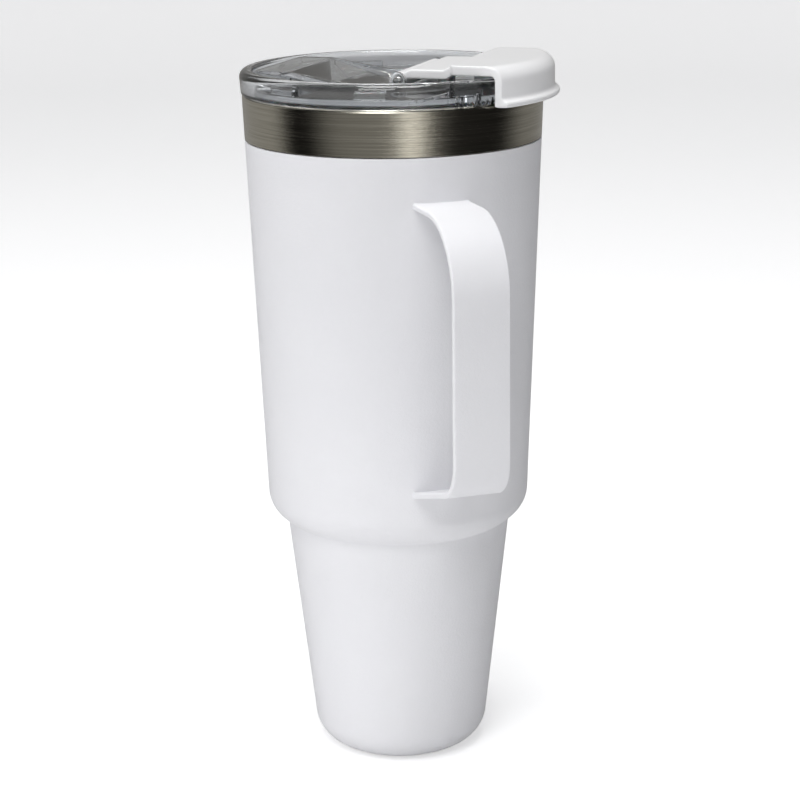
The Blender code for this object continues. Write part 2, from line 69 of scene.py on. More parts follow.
def roundCorners(corners, radii, steps=8):
    # corners[1:] get the radii in turn, and the ends stay as they are
    points = [Vector(corners[0])]
    for index in range(1, len(corners) - 1):
        radius = radii[index - 1] if index <= len(radii) else 0
        before, corner, after = (Vector(corners[index + k]) for k in (-1, 0, 1))
        if radius <= 0:
            points.append(corner)
            continue
        back = (before - corner).normalized()
        ahead = (after - corner).normalized()
        half = back.angle(ahead) / 2
        centre = corner + (back + ahead).normalized() * radius / math.sin(half)
        first = corner + back * radius / math.tan(half) - centre
        last = corner + ahead * radius / math.tan(half) - centre
        turn = first.angle_signed(last)
        for step in range(steps + 1):
            points.append(centre + Matrix.Rotation(-turn * step / steps, 2) @ first)
    points.append(Vector(corners[-1]))
    return points


def offsetCorners(corners, distance):
    # moves a polyline to its right
    lines = []
    for start, end in zip(corners[:-1], corners[1:]):
        run = (Vector(end) - Vector(start)).normalized()
        side = Vector((run.y, -run.x)) * distance
        lines.append((Vector(start) + side, Vector(end) + side, run))
    moved = [lines[0][0]]
    for (_, firstEnd, firstRun), (secondStart, _, secondRun) in zip(lines[:-1], lines[1:]):
        along = (secondStart - firstEnd).cross(secondRun) / firstRun.cross(secondRun)
        moved.append(firstEnd + firstRun * along)
    moved.append(lines[-1][1])
    return moved


def longEdgesSplit(points, longest):
    # extra points along straight runs, so that shading stays even
    result = []
    for start, end in zip(points[:-1], points[1:]):
        pieces = max(1, int((Vector(end) - Vector(start)).length / longest))
        result += [Vector(start).lerp(Vector(end), k / pieces) for k in range(pieces)]
    return result + [Vector(points[-1])]


def turnedMesh(name, outline, closed=True, segments=192):
    # spins an (r, z) outline round +Z
    work = bmesh.new()
    points = [work.verts.new((p[0], 0, p[1])) for p in outline]
    edges = [work.edges.new(pair) for pair in zip(points[:-1], points[1:])]
    if closed:
        edges.append(work.edges.new((points[-1], points[0])))
    bmesh.ops.spin(work, geom=points + edges, cent=(0, 0, 0), axis=(0, 0, 1), angle=2 * math.pi,
                   steps=segments, use_merge=True)
    bmesh.ops.remove_doubles(work, verts=work.verts, dist=1e-6)
    bmesh.ops.recalc_face_normals(work, faces=work.faces)
    mesh = bpy.data.meshes.new(name)
    work.to_mesh(mesh)
    work.free()
    return mesh


def prismMesh(name, outline, low, high, place):
    work = bmesh.new()
    face = work.faces.new([work.verts.new((p[0], p[1], low)) for p in outline])
    raised = bmesh.ops.extrude_face_region(work, geom=[face])["geom"]
    lifted = [part for part in raised if isinstance(part, bmesh.types.BMVert)]
    bmesh.ops.translate(work, verts=lifted, vec=(0, 0, high - low))
    bmesh.ops.transform(work, matrix=place, verts=work.verts)
    bmesh.ops.recalc_face_normals(work, faces=work.faces)
    mesh = bpy.data.meshes.new(name)
    work.to_mesh(mesh)
    work.free()
    return mesh


def gridMesh(name, rings, capped=True):
    # joins rings of equal length into a tube, and closes its ends or joins them up
    work = bmesh.new()
    loops = [[work.verts.new(p) for p in ring] for ring in rings]
    count = len(loops[0])
    pairs = list(zip(loops[:-1], loops[1:]))
    if not capped:
        pairs.append((loops[-1], loops[0]))
    for first, second in pairs:
        for k in range(count):
            n = (k + 1) % count
            work.faces.new((first[k], first[n], second[n], second[k]))
    if capped:
        work.faces.new(loops[0][::-1])
        work.faces.new(loops[-1])
    bmesh.ops.recalc_face_normals(work, faces=work.faces)
    mesh = bpy.data.meshes.new(name)
    work.to_mesh(mesh)
    work.free()
    return mesh


def circlePoints(radius, centre=(0, 0), count=48):
    turns = [2 * math.pi * k / count for k in range(count)]
    return [(centre[0] + radius * math.cos(t), centre[1] + radius * math.sin(t)) for t in turns]


def slotPoints(length, width, centre=(0, 0), count=16):
    radius = width / 2
    points = []
    for side, start in ((1, 0), (-1, math.pi)):
        for step in range(count + 1):
            turn = start + math.pi * step / count
            points.append((centre[0] + radius * math.cos(turn),
                           centre[1] + side * (length / 2 - radius) + radius * math.sin(turn)))
    return points


def toolObject(name, mesh):
    obj = bpy.data.objects.new(name, mesh)
    bpy.context.collection.objects.link(obj)
    return obj


def combineMeshes(base, tools):
    # applies a list of (mesh, operation) Booleans to a mesh and returns the new mesh
    obj = toolObject("joining", base)
    helpers = []
    for mesh, operation in tools:
        helper = toolObject("tool", mesh)
        helpers.append(helper)
        change = obj.modifiers.new("change", "BOOLEAN")
        change.operation = operation
        change.solver = "EXACT"
        change.object = helper
    return bakeMesh(obj, helpers)


def bakeMesh(obj, helpers=()):
    bpy.context.view_layer.update()
    graph = bpy.context.evaluated_depsgraph_get()
    made = bpy.data.meshes.new_from_object(obj.evaluated_get(graph))
    for item in [obj, *helpers]:
        bpy.data.objects.remove(item, do_unlink=True)
    return made


def softEdges(mesh, width, segments=3, angle=30):
    # rounds a mesh's sharp edges
    obj = toolObject("rounding", mesh)
    edges = obj.modifiers.new("edges", "BEVEL")
    edges.width = width
    edges.segments = segments
    edges.limit_method = "ANGLE"
    edges.angle_limit = math.radians(angle)
    edges.use_clamp_overlap = True
    edges.miter_outer = "MITER_ARC"
    return bakeMesh(obj)


def meltEdges(mesh, grain, rounds):
    # an even fine skin over a solid, relaxed so that its edges are moulded round
    obj = toolObject("melting", mesh)
    skin = obj.modifiers.new("skin", "REMESH")
    skin.mode = "VOXEL"
    skin.voxel_size = grain
    relax = obj.modifiers.new("relax", "SMOOTH")
    relax.factor = 0.5
    relax.iterations = rounds
    return bakeMesh(obj)


def newGroup(name, inputs, outputs):
    group = bpy.data.node_groups.new(name, "ShaderNodeTree")
    for label, kind, value in inputs:
        socket = group.interface.new_socket(label, in_out="INPUT", socket_type=kind)
        if value is not None:
            socket.default_value = value
    for label, kind in outputs:
        group.interface.new_socket(label, in_out="OUTPUT", socket_type=kind)
    return group


def place(tree, kind, x, y, **settings):
    node = tree.nodes.new(kind)
    node.location = (x, y)
    for key, value in settings.items():
        setattr(node, key, value)
    return node


def makeGrainGroup():
    # fine orange peel and broad unevenness, for coated and moulded surfaces
    group = newGroup("surfaceGrain", [
        ("Peel Scale", "NodeSocketFloat", 1400.0),
        ("Fine Scale", "NodeSocketFloat", 5200.0),
        ("Fine Share", "NodeSocketFloat", 0.35),
        ("Broad Scale", "NodeSocketFloat", 28.0),
    ], [("Height", "NodeSocketFloat"), ("Broad", "NodeSocketFloat")])
    start = place(group, "NodeGroupInput", -900, 0)
    end = place(group, "NodeGroupOutput", 500, 0)
    where = place(group, "ShaderNodeTexCoord", -900, -300)
    peel = place(group, "ShaderNodeTexNoise", -600, 200)
    fine = place(group, "ShaderNodeTexNoise", -600, -50)
    broad = place(group, "ShaderNodeTexNoise", -600, -300)
    peel.inputs["Detail"].default_value = 3.0
    fine.inputs["Detail"].default_value = 2.0
    broad.inputs["Detail"].default_value = 4.0
    mix = place(group, "ShaderNodeMix", -200, 100, data_type="FLOAT")
    link = group.links.new
    for noise, label in ((peel, "Peel Scale"), (fine, "Fine Scale"), (broad, "Broad Scale")):
        link(where.outputs["Object"], noise.inputs["Vector"])
        link(start.outputs[label], noise.inputs["Scale"])
    link(start.outputs["Fine Share"], mix.inputs["Factor"])
    link(peel.outputs["Fac"], mix.inputs["A"])
    link(fine.outputs["Fac"], mix.inputs["B"])
    link(mix.outputs["Result"], end.inputs["Height"])
    link(broad.outputs["Fac"], end.inputs["Broad"])
    return group


def makeBrushGroup():
    # fine lines that run round the axis of the cup, in clusters of uneven strength
    group = newGroup("brushedLines", [
        ("Round", "NodeSocketFloat", 18.0),
        ("Across", "NodeSocketFloat", 3200.0),
        ("Coarse Across", "NodeSocketFloat", 900.0),
    ], [("Lines", "NodeSocketFloat"), ("Clusters", "NodeSocketFloat")])
    start = place(group, "NodeGroupInput", -1100, 0)
    end = place(group, "NodeGroupOutput", 500, 0)
    where = place(group, "ShaderNodeTexCoord", -1100, -300)
    link = group.links.new
    outputs = []
    for row, across in enumerate(("Across", "Coarse Across")):
        size = place(group, "ShaderNodeCombineXYZ", -800, 200 - 300 * row)
        link(start.outputs["Round"], size.inputs["X"])
        link(start.outputs["Round"], size.inputs["Y"])
        link(start.outputs[across], size.inputs["Z"])
        stretch = place(group, "ShaderNodeVectorMath", -600, 200 - 300 * row, operation="MULTIPLY")
        link(where.outputs["Object"], stretch.inputs[0])
        link(size.outputs["Vector"], stretch.inputs[1])
        noise = place(group, "ShaderNodeTexNoise", -400, 200 - 300 * row)
        noise.inputs["Scale"].default_value = 1.0
        noise.inputs["Detail"].default_value = 5.0
        noise.inputs["Roughness"].default_value = 0.65
        link(stretch.outputs["Vector"], noise.inputs["Vector"])
        outputs.append(noise.outputs["Fac"])
    blend = place(group, "ShaderNodeMix", -100, 100, data_type="FLOAT")
    blend.inputs["Factor"].default_value = 0.4
    link(outputs[0], blend.inputs["A"])
    link(outputs[1], blend.inputs["B"])
    spread = place(group, "ShaderNodeMapRange", 200, 100)
    spread.inputs["From Min"].default_value = 0.36
    spread.inputs["From Max"].default_value = 0.64
    link(blend.outputs["Result"], spread.inputs["Value"])
    link(spread.outputs["Result"], end.inputs["Lines"])
    link(outputs[1], end.inputs["Clusters"])
    return group


def makeMarksGroup():
    # faint wipe marks and specks that change the roughness
    group = newGroup("handlingMarks", [
        ("Smear Scale", "NodeSocketFloat", 60.0),
        ("Speck Scale", "NodeSocketFloat", 420.0),
        ("Low", "NodeSocketFloat", 0.2),
        ("High", "NodeSocketFloat", 0.3),
    ], [("Roughness", "NodeSocketFloat"), ("Mask", "NodeSocketFloat")])
    start = place(group, "NodeGroupInput", -900, 0)
    end = place(group, "NodeGroupOutput", 500, 0)
    where = place(group, "ShaderNodeTexCoord", -900, -300)
    smear = place(group, "ShaderNodeTexNoise", -600, 200)
    smear.inputs["Detail"].default_value = 4.0
    smear.inputs["Distortion"].default_value = 0.8
    speck = place(group, "ShaderNodeTexVoronoi", -600, -100)
    link = group.links.new
    link(where.outputs["Object"], smear.inputs["Vector"])
    link(where.outputs["Object"], speck.inputs["Vector"])
    link(start.outputs["Smear Scale"], smear.inputs["Scale"])
    link(start.outputs["Speck Scale"], speck.inputs["Scale"])
    dots = place(group, "ShaderNodeMapRange", -300, -100)
    dots.inputs["From Min"].default_value = 0.0
    dots.inputs["From Max"].default_value = 0.12
    dots.inputs["To Min"].default_value = 1.0
    dots.inputs["To Max"].default_value = 0.0
    link(speck.outputs["Distance"], dots.inputs["Value"])
    both = place(group, "ShaderNodeMath", -100, 100, operation="MAXIMUM")
    link(smear.outputs["Fac"], both.inputs[0])
    link(dots.outputs["Result"], both.inputs[1])
    spread = place(group, "ShaderNodeMapRange", 150, 100)
    spread.inputs["From Min"].default_value = 0.3
    spread.inputs["From Max"].default_value = 0.75
    link(both.outputs["Value"], spread.inputs["Value"])
    link(start.outputs["Low"], spread.inputs["To Min"])
    link(start.outputs["High"], spread.inputs["To Max"])
    link(spread.outputs["Result"], end.inputs["Roughness"])
    link(both.outputs["Value"], end.inputs["Mask"])
    return group


surfaceGrain = makeGrainGroup()
brushedLines = makeBrushGroup()
handlingMarks = makeMarksGroup()


def startMaterial(name, uniform):
    made = bpy.data.materials.new(name)
    made.use_nodes = True
    shader = made.node_tree.nodes["Principled BSDF"]
    for label, value in uniform.items():
        shader.inputs[label].default_value = value
    return made, made.node_tree, shader


def placeGroup(tree, group, x, y, values):
    node = place(tree, "ShaderNodeGroup", x, y, node_tree=group)
    for label, value in values.items():
        node.inputs[label].default_value = value
    return node


def colourBetween(tree, factor, first, second, target, x=-300, y=200):
    mix = place(tree, "ShaderNodeMix", x, y, data_type="RGBA")
    mix.inputs[6].default_value = (*first, 1)
    mix.inputs[7].default_value = (*second, 1)
    tree.links.new(factor, mix.inputs["Factor"])
    tree.links.new(mix.outputs[2], target)
    return mix


def spreadBetween(tree, factor, low, high, target, fromLow=0.3, fromHigh=0.7, x=-300, y=0):
    spread = place(tree, "ShaderNodeMapRange", x, y)
    spread.inputs["From Min"].default_value = fromLow
    spread.inputs["From Max"].default_value = fromHigh
    spread.inputs["To Min"].default_value = low
    spread.inputs["To Max"].default_value = high
    tree.links.new(factor, spread.inputs["Value"])
    tree.links.new(spread.outputs["Result"], target)
    return spread


def addBump(tree, shader, height, strength, distance):
    bump = place(tree, "ShaderNodeBump", -300, -300)
    bump.inputs["Strength"].default_value = strength
    bump.inputs["Distance"].default_value = distance
    tree.links.new(height, bump.inputs["Height"])
    tree.links.new(bump.outputs["Normal"], shader.inputs["Normal"])
    return bump


relief = {"coat": 0.0003, "brush": 0.00006, "mould": 0.0001, "mouldStrength": 0.06}


def coatedWhite(name, first, second, low, high, bump):
    made, tree, shader = startMaterial(name, {"Specular IOR Level": 0.42})
    scales = {"Peel Scale": 900, "Fine Scale": 3200, "Fine Share": 0.4}
    grain = placeGroup(tree, surfaceGrain, -700, 0, scales)
    colourBetween(tree, grain.outputs["Broad"], first, second, shader.inputs["Base Color"])
    spreadBetween(tree, grain.outputs["Broad"], low, high, shader.inputs["Roughness"])
    addBump(tree, shader, grain.outputs["Height"], bump, relief["coat"])
    return made


def brushedMetal(name, first, second, low, high, bump, values):
    made, tree, shader = startMaterial(name, {"Metallic": 1.0, "Anisotropic": 0.0})
    brush = placeGroup(tree, brushedLines, -700, 0, values)
    colourBetween(tree, brush.outputs["Lines"], first, second, shader.inputs["Base Color"])
    spreadBetween(tree, brush.outputs["Lines"], low, high, shader.inputs["Roughness"])
    addBump(tree, shader, brush.outputs["Lines"], bump, relief["brush"])
    return made


def mouldedPlastic(name, first, second, low, high, uniform):
    made, tree, shader = startMaterial(name, uniform)
    marks = placeGroup(tree, handlingMarks, -700, 150, {"Low": low, "High": high})
    scales = {"Peel Scale": 520, "Fine Scale": 3800, "Fine Share": 0.25}
    grain = placeGroup(tree, surfaceGrain, -700, -250, scales)
    colourBetween(tree, grain.outputs["Broad"], first, second, shader.inputs["Base Color"])
    tree.links.new(marks.outputs["Roughness"], shader.inputs["Roughness"])
    addBump(tree, shader, grain.outputs["Height"], relief["mouldStrength"], relief["mould"])
    return made


powderWhite = coatedWhite("powderWhite", (0.80, 0.80, 0.825), (0.84, 0.84, 0.86), 0.44, 0.56, 0.38)
brushedBand = brushedMetal("brushedBand", (0.46, 0.435, 0.365), (0.72, 0.69, 0.60), 0.11, 0.19, 0.45, {})
linerSteel = brushedMetal("linerSteel", (0.58, 0.57, 0.54), (0.70, 0.69, 0.66), 0.24, 0.38, 0.15,
                          {"Across": 3600, "Coarse Across": 500})
pinSteel = brushedMetal("pinSteel", (0.62, 0.62, 0.61), (0.74, 0.74, 0.73), 0.15, 0.22, 0.05,
                        {"Across": 8000})
clearPlastic = mouldedPlastic("clearPlastic", (0.93, 0.95, 0.965), (0.96, 0.97, 0.98), 0.02, 0.05,
                              {"Transmission Weight": 1.0, "IOR": 1.54})
whitePlastic = mouldedPlastic("whitePlastic", (0.90, 0.90, 0.905), (0.92, 0.92, 0.925), 0.28, 0.30,
                              {"Coat Weight": 0.2, "Coat Roughness": 0.15})
siliconeWhite = mouldedPlastic("siliconeWhite", (0.78, 0.79, 0.80), (0.83, 0.84, 0.85), 0.55, 0.68,
                               {"Subsurface Weight": 0.2, "Subsurface Scale": 0.002})
fusedBead = mouldedPlastic("fusedBead", (0.10, 0.10, 0.11), (0.14, 0.14, 0.15), 0.2, 0.3, {})
getterMetal = brushedMetal("getterMetal", (0.14, 0.14, 0.15), (0.20, 0.20, 0.21), 0.5, 0.65, 0.4,
                           {"Round": 900})
print("materials made")


cup = {
    "ledgeHeight": 0.0885, "ledgeRadius": 0.0452, "ledgeRound": 0.0100,
    "waistDrop": 0.0039, "waistRadius": 0.0390, "waistRound": 0.0013,
    "footRadius": 0.0294, "footRound": 0.0112, "footOpening": 0.0168,
    "shellWall": 0.0008, "coatLip": 0.0003, "longestRun": 0.006,
}


def wallRadius(height):
    # outside of the wide barrel
    share = (height - cup["ledgeHeight"]) / (rimHeight - cup["ledgeHeight"])
    return cup["ledgeRadius"] + share * (rimRadius - cup["ledgeRadius"])


def makeShell():
    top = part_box("outer_shell")[1].z
    waistHeight = cup["ledgeHeight"] - cup["waistDrop"]
    corners = [
        (wallRadius(top), top),
        (cup["ledgeRadius"], cup["ledgeHeight"]),
        (cup["waistRadius"], waistHeight),
        (cup["footRadius"], 0),
        (cup["footOpening"], 0),
    ]
    inside = offsetCorners(corners, cup["shellWall"])
    inside[0].y = top
    wall = cup["shellWall"]
    outerRadii = [cup["ledgeRound"], cup["waistRound"], cup["footRound"]]
    innerRadii = [cup["ledgeRound"] - wall, cup["waistRound"] + wall, cup["footRound"] - wall]
    lip = [(wallRadius(top) - wall, top), *corners]
    outer = roundCorners(lip, [cup["coatLip"], *outerRadii], steps=16)
    inner = roundCorners(inside, innerRadii, steps=12)
    outline = longEdgesSplit(outer, cup["longestRun"]) + inner[::-1][:-1]
    mesh = turnedMesh("shellWall", outline)
    addObject("shellWall", mesh, powderWhite, "cup", "outer_shell", 40)


band = {
    "rimWidth": 0.00275, "linerWall": 0.0006, "gap": 0.0003, "wall": 0.0010, "lipDepth": 0.0016,
    "rimRound": 0.0010, "lipRound": 0.00015, "lowRound": 0.00012, "backRound": 0.0001,
}


def makeBand():
    low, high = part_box("mouth_ring")
    lipRadius = rimRadius - band["rimWidth"] + band["linerWall"] + band["gap"]
    bottom = wallRadius(low.z)
    corners = [
        (lipRadius, high.z - band["lipDepth"]),
        (lipRadius, high.z),
        (rimRadius, high.z),
        (bottom, low.z),
        (bottom - band["wall"], low.z),
        (rimRadius - band["wall"], high.z - band["lipDepth"]),
    ]
    radii = [band["lipRound"], band["rimRound"], band["lowRound"], band["backRound"]]
    outline = roundCorners(corners, radii, steps=8)
    mesh = turnedMesh("steelBand", outline, segments=256)
    addObject("steelBand", mesh, brushedBand, "cup", "mouth_ring", 40)


liner = {"base": 0.0072, "inset": 0.0036, "ledgeRound": 0.0060, "waistRound": 0.0040, "footRound": 0.0080}


def makeLiner():
    wall = band["linerWall"]
    bore = rimRadius - band["rimWidth"]
    waistHeight = cup["ledgeHeight"] - cup["waistDrop"]
    lowRadius = cup["footRadius"] + liner["base"] / waistHeight * (cup["waistRadius"] - cup["footRadius"])
    corners = [
        (bore + wall, rimHeight),
        (cup["ledgeRadius"] - liner["inset"], cup["ledgeHeight"] + liner["inset"]),
        (cup["waistRadius"] - liner["inset"], waistHeight + liner["inset"]),
        (lowRadius - liner["inset"], liner["base"]),
        (0, liner["base"]),
    ]
    inside = offsetCorners(corners, wall)
    inside[0].y = rimHeight
    inside[-1].x = 0
    radii = [liner["ledgeRound"], liner["waistRound"], liner["footRound"]]
    innerRadii = [radii[0] - wall, radii[1] + wall, radii[2] - wall]
    outer = roundCorners(corners, radii, steps=8)
    inner = roundCorners(inside, innerRadii, steps=8)
    mesh = turnedMesh("linerWall", outer[::-1] + inner, closed=False, segments=128)
    addObject("linerWall", mesh, linerSteel, "cup", "inner_liner", 40)


baseCap = {"grooveRadius": 0.0120, "grooveWidth": 0.0012, "grooveDepth": 0.0004, "chamfer": 0.0003}


def makeBaseCap():
    low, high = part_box("base_cap")
    half = baseCap["grooveWidth"] / 2
    corners = [
        (0, low.z),
        (baseCap["grooveRadius"] - half, low.z),
        (baseCap["grooveRadius"] - half / 2, low.z + baseCap["grooveDepth"]),
        (baseCap["grooveRadius"] + half / 2, low.z + baseCap["grooveDepth"]),
        (baseCap["grooveRadius"] + half, low.z),
        (high.x, low.z),
        (high.x, high.z),
        (0, high.z),
    ]
    small = baseCap["chamfer"] / 2
    outline = roundCorners(corners, [small, small, small, small, baseCap["chamfer"], small], steps=4)
    mesh = turnedMesh("baseDisc", outline, closed=False, segments=128)
    addObject("baseDisc", mesh, powderWhite, "cup", "base_cap", 40)


strap = {
    "width": 0.0190, "thickness": 0.0020, "edgeRound": 0.0007, "reach": 0.0854, "topDrop": 0.0310,
    "span": 0.0854, "topBend": 0.0236, "lowBend": 0.0130, "lowSlope": math.radians(16.7),
    "sink": 0.0002, "fillet": 0.0009, "start": 0.036, "longestRun": 0.004, "clear": 0.001,
}


def strapLine():
    # middle of the strap in the plane of the handle, from wall to wall
    top = rimHeight - strap["topDrop"]
    turn = top - strap["span"]
    start = strap["start"]
    corners = [
        (start, top),
        (strap["reach"], top),
        (strap["reach"], turn),
        (start, turn - (strap["reach"] - start) * math.tan(strap["lowSlope"])),
    ]
    bent = roundCorners(corners, [strap["topBend"], strap["lowBend"]], steps=28)
    return longEdgesSplit(bent, strap["longestRun"])


def strapSection():
    # rounded cross-section as (across, out) pairs
    half, deep = strap["width"] / 2, strap["thickness"] / 2
    corners = [(0, deep), (half, deep), (half, -deep), (-half, -deep), (-half, deep), (0, deep)]
    return roundCorners(corners, [strap["edgeRound"]] * 4, steps=8)[:-1]


def wallMeet(across, origin, run):
    # where a line along an arm of the strap reaches the wall
    along = 0.0
    for _ in range(12):
        height = origin.y + run.y * along
        target = math.sqrt(max((wallRadius(height) - strap["sink"]) ** 2 - across ** 2, 0))
        along = (target - origin.x) / run.x
    return origin + run * along


def makeStrap():
    line = strapLine()
    section = strapSection()
    wallHigh = wallRadius(line[0].y)
    kept = [p for p in line if p.x > wallHigh + strap["clear"]]
    rings = []
    for index, point in enumerate(kept):
        before = kept[max(index - 1, 0)]
        after = kept[min(index + 1, len(kept) - 1)]
        run = (after - before).normalized()
        out = Vector((-run.y, run.x))
        rings.append([Vector((point.x + out.x * d, w, point.y + out.y * d)) for w, d in section])
    ends = []
    for point, after in ((kept[0], kept[1]), (kept[-1], kept[-2])):
        run = (after - point).normalized()
        out = Vector((-run.y, run.x)) * (1 if point is kept[0] else -1)
        ring = []
        for w, d in section:
            meet = wallMeet(w, Vector((point.x + out.x * d, point.y + out.y * d)), run)
            ring.append(Vector((meet.x, w, meet.y)))
        ends.append(ring)
    mesh = gridMesh("strapHandle", [ends[0], *rings, ends[1]])
    addObject("strapHandle", mesh, powderWhite, "cup", "handle_strap", 50)
    for label, point, after, flip in (("Upper", kept[0], kept[1], 1), ("Lower", kept[-1], kept[-2], -1)):
        makeWeld("weld" + label, section, point, after, flip)


def makeWeld(name, section, point, after, flip):
    # the coat's fillet where an arm meets the wall
    run = (after - point).normalized()
    out = Vector((-run.y, run.x)) * flip
    size = strap["fillet"]
    rings = []
    count = len(section)
    for index, (w, d) in enumerate(section):
        ahead, behind = section[(index + 1) % count], section[index - 1]
        along = Vector((ahead[0] - behind[0], ahead[1] - behind[1])).normalized()
        side = Vector((-along.y, along.x))
        ring = []
        for step in range(9):
            turn = math.pi / 2 * step / 8
            aside = size * (1 - math.cos(turn)) - strap["sink"] * (1 if step == 0 else 0)
            lift = size * (1 - math.sin(turn))
            nw, nd = w + side.x * aside, d + side.y * aside
            meet = wallMeet(nw, Vector((point.x + out.x * nd, point.y + out.y * nd)), run) + run * lift
            ring.append(Vector((meet.x, nw, meet.y)))
        nw, nd = w - side.x * strap["sink"], d - side.y * strap["sink"]
        meet = wallMeet(nw, Vector((point.x + out.x * nd, point.y + out.y * nd)), run) - run * strap["sink"]
        ring.append(Vector((meet.x, nw, meet.y)))
        rings.append(ring)
    mesh = gridMesh(name, rings, capped=False)
    addObject(name, mesh, powderWhite, "cup", None, 60)


lid = {
    "overhang": 0.00025, "flare": 0.0006, "rise": 0.0083, "shoulder": 0.0026, "wall": 0.0046,
    "innerRound": 0.0012, "seat": 0.0009, "ledge": 0.0017, "gap": 0.0003,
    "plugDepth": 0.0130, "plugClearance": 0.0012, "plugWall": 0.0022, "draft": 0.0004,
    "grooveTop": 0.0050, "grooveHeight": 0.0040, "grooveDepth": 0.0010,
    "deckThickness": 0.0020, "edgeRound": 0.0003, "footRound": 0.0008,
    "seamTurn": math.radians(51), "seamInward": 0.0004, "seamOutward": 0.0010, "seamHalf": 0.00011,
    "seamLow": 0.0012, "seamHigh": 0.0016,
}
lidLow = rimRadius + lid["overhang"]
lidTop = lidLow + lid["flare"]
lidInner = lidTop - lid["wall"]
plugRadius = rimRadius - band["rimWidth"] - lid["plugClearance"]
deckRadius = lidInner - lid["flare"] / 2 - lid["gap"]
deckBottom = lid["seat"] + lid["gap"]
deckTop = deckBottom + lid["deckThickness"]


pocket = {        # moulded pockets in the underside of the clear ring, beside the seams
    "inner": 0.0482, "outer": 0.0502, "rampTurn": math.radians(17), "rampLow": 0.0011, "rampHigh": 0.0041,
    "rampDepth": 0.0009, "pleats": 7, "pleatPitch": math.radians(2.5), "pleatWidth": 0.0013,
    "pleatHigh": 0.0043, "pleatLean": 0.0007, "below": 0.001,
}


def radialPrism(name, corners, turn):
    # corners are (along the rim, height) pairs, cut from the inside to the outside of the ring
    upright = Matrix.Rotation(turn + math.pi / 2, 4, "Z") @ Matrix.Rotation(math.pi / 2, 4, "X")
    place = rimFrame @ upright
    return prismMesh(name, corners, pocket["inner"], pocket["outer"], place)


def ringPockets():
    cuts = []
    for side in (-1, 1):
        seam = leverAngle + side * lid["seamTurn"]
        steps = 6
        for k in range(steps):
            first, last = k / steps, (k + 0.94) / steps
            turn = seam + side * pocket["rampTurn"] * (1 - (first + last) / 2)
            half = pocket["outer"] * pocket["rampTurn"] * (last - first) / 2
            low = pocket["rampLow"] + (pocket["rampHigh"] - pocket["rampLow"]) * first
            high = pocket["rampLow"] + (pocket["rampHigh"] - pocket["rampLow"]) * last
            near, far = (low, high) if side < 0 else (high, low)
            depth = pocket["rampDepth"]
            corners = [(-half, near), (half, far), (half, far + depth), (-half, near + depth)]
            cuts.append((radialPrism("camRamp", corners, turn), "DIFFERENCE"))
        for k in range(pocket["pleats"]):
            turn = seam - side * pocket["pleatPitch"] * (k + 1.5)
            top = pocket["pleatHigh"] * (0.7 + 0.3 * math.sin(1.9 * k + 0.8))
            lean = pocket["pleatLean"] * math.cos(2.3 * k)
            half = pocket["pleatWidth"] / 2
            low = -pocket["below"]
            corners = [(-half, low), (half, low), (half / 2 + lean, top), (-half / 2 + lean, top)]
            cuts.append((radialPrism("pleat", corners, turn), "DIFFERENCE"))
    return cuts


def makeLidRing():
    inner = plugRadius - lid["plugWall"]
    grooveLow = -lid["grooveTop"] - lid["grooveHeight"]
    corners = [
        ((lidLow + plugRadius) / 2, lid["gap"]),
        (lidLow, lid["gap"]),
        (lidTop, lid["rise"]),
        (lidInner, lid["rise"]),
        (deckRadius + lid["gap"], lid["seat"]),
        (deckRadius + lid["gap"] - lid["ledge"], lid["seat"]),
        (inner - lid["draft"] / 2, -lid["plugDepth"]),
        (plugRadius - lid["draft"], -lid["plugDepth"]),
        (plugRadius - lid["draft"], grooveLow),
        (plugRadius - lid["grooveDepth"], grooveLow),
        (plugRadius - lid["grooveDepth"], -lid["grooveTop"]),
        (plugRadius, -lid["grooveTop"]),
        (plugRadius, lid["gap"]),
        ((lidLow + plugRadius) / 2, lid["gap"]),
    ]
    placed = [(r, rimHeight + z) for r, z in corners]
    edge, foot = lid["edgeRound"], lid["footRound"]
    radii = [edge, lid["shoulder"], lid["innerRound"], edge, edge, foot, foot, *[edge] * 5]
    outline = roundCorners(placed, radii, steps=10)[:-1]
    ring = turnedMesh("clearRing", outline, segments=240)
    seams = []
    for turn in (-lid["seamTurn"], lid["seamTurn"]):
        place = rimFrame @ Matrix.Rotation(leverAngle + turn, 4, "Z")
        near, far, half = lidLow - lid["seamInward"], lidTop + lid["seamOutward"], lid["seamHalf"]
        slit = [(near, -half), (far, -half), (far, half), (near, half)]
        seam = prismMesh("seam", slit, lid["seamLow"], lid["rise"] - lid["seamHigh"], place)
        seams.append((seam, "DIFFERENCE"))
    mesh = combineMeshes(ring, seams + ringPockets())
    addObject("clearRing", mesh, clearPlastic, "lid", "lid_ring", 35)


